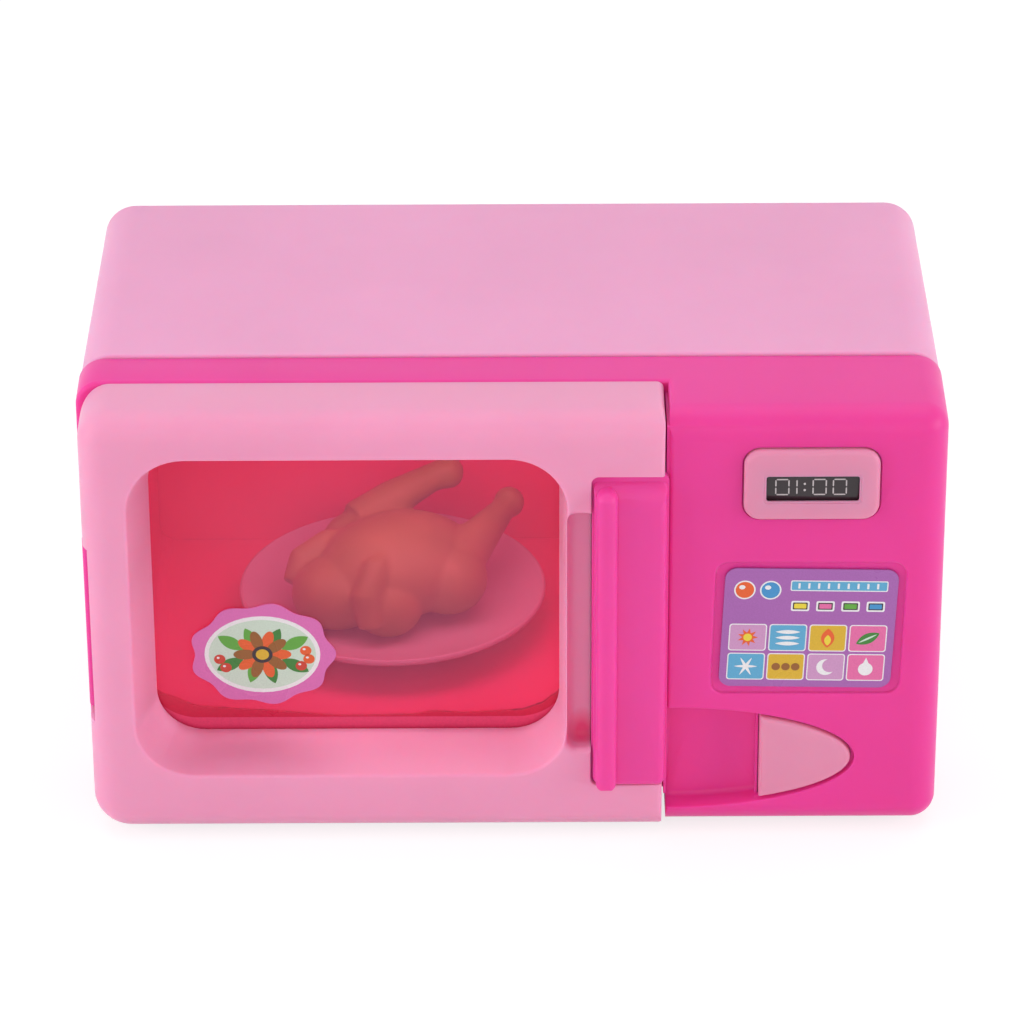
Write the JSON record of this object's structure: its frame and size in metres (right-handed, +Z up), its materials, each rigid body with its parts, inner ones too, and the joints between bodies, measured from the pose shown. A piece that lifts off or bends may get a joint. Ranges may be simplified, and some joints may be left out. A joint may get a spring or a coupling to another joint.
{
  "type": "toy microwave oven",
  "caption": "Toy microwave with a hinged tinted-window door, sprung release button with a rocker latch, and a turntable dish with toy roast.",
  "frame": {"origin": "under the middle of the body, on the surface that the feet stand on", "axes": "+Z up; the door and controls face -Y; +X to the viewer's right, towards the control block"},
  "size_m": [0.141, 0.0844, 0.0795],
  "materials": {
    "shell_pink": "light pink moulded plastic, satin gloss",
    "hot_pink": "hot pink moulded plastic, gloss",
    "liner_pink": "hot pink moulded plastic, satin",
    "pale_pink": "pale pink moulded plastic, satin gloss",
    "display_black": "dark print behind a clear face, plain digits",
    "control_print": "printed paper sticker under a clear film",
    "sticker_print": "printed paper sticker under a clear film",
    "latch_white": "natural moulded plastic",
    "steel": "plated steel",
    "dish_white": "white moulded plastic",
    "roast_beige": "soft beige moulded plastic",
    "film_red": "translucent red-pink plastic sheet"
  },
  "bodies": {
    "body": {"rear_shell": "shell_pink", "front_frame": "hot_pink", "oven_liner": "liner_pink", "display_bezel": "pale_pink", "display_plate": "display_black", "control_label": "control_print", "button_spring": "steel", "latch_bracket": "latch_white", "bracket_screw_left": "steel", "bracket_screw_right": "steel", "liner_screw_left": "steel", "liner_screw_right": "steel", "body_screw_1": "steel", "body_screw_2": "steel", "body_screw_3": "steel", "body_screw_4": "steel"},
    "door": {"door_shell": "shell_pink", "window_film": "film_red", "window_sticker": "sticker_print", "door_handle": "hot_pink", "door_catch": "shell_pink", "handle_screw_lower": "steel", "handle_screw_upper": "steel", "catch_screw": "steel", "hinge_pin": "steel"},
    "turntable": {"turntable_plate": "dish_white", "turntable_spindle": "latch_white", "roast_chicken": "roast_beige"},
    "button": {"release_button": "pale_pink"},
    "latch": {"latch_rocker": "latch_white"}
  },
  "joints": [
    {"name": "door_hinge", "type": "hinge", "parent": "body", "child": "door", "pos_m": [-0.0661, -0.0295, 0.0384], "axis": [0, 0, -1], "range_deg": [0, 95]},
    {"name": "turntable_spin", "type": "hinge", "parent": "body", "child": "turntable", "pos_m": [-0.0206, 0.0114, 0.0145], "axis": [0, 0, 1], "continuous": true},
    {"name": "button_push", "type": "slide", "parent": "body", "child": "button", "axis": [0, 1, 0], "range_m": [0, 0.002], "stiffness_N_per_m": 300, "springref_m": -0.001, "deforming": ["button_spring"]},
    {"name": "latch_tip", "type": "hinge", "parent": "body", "child": "latch", "pos_m": [0.0373, -0.0106, 0.0253], "axis": [1, 0, 0], "range_deg": [0, 12.5]}
  ],
  "couplings": [
    {"joint": "latch_tip", "follows": "button_push", "rad_per_m": 105}
  ]
}
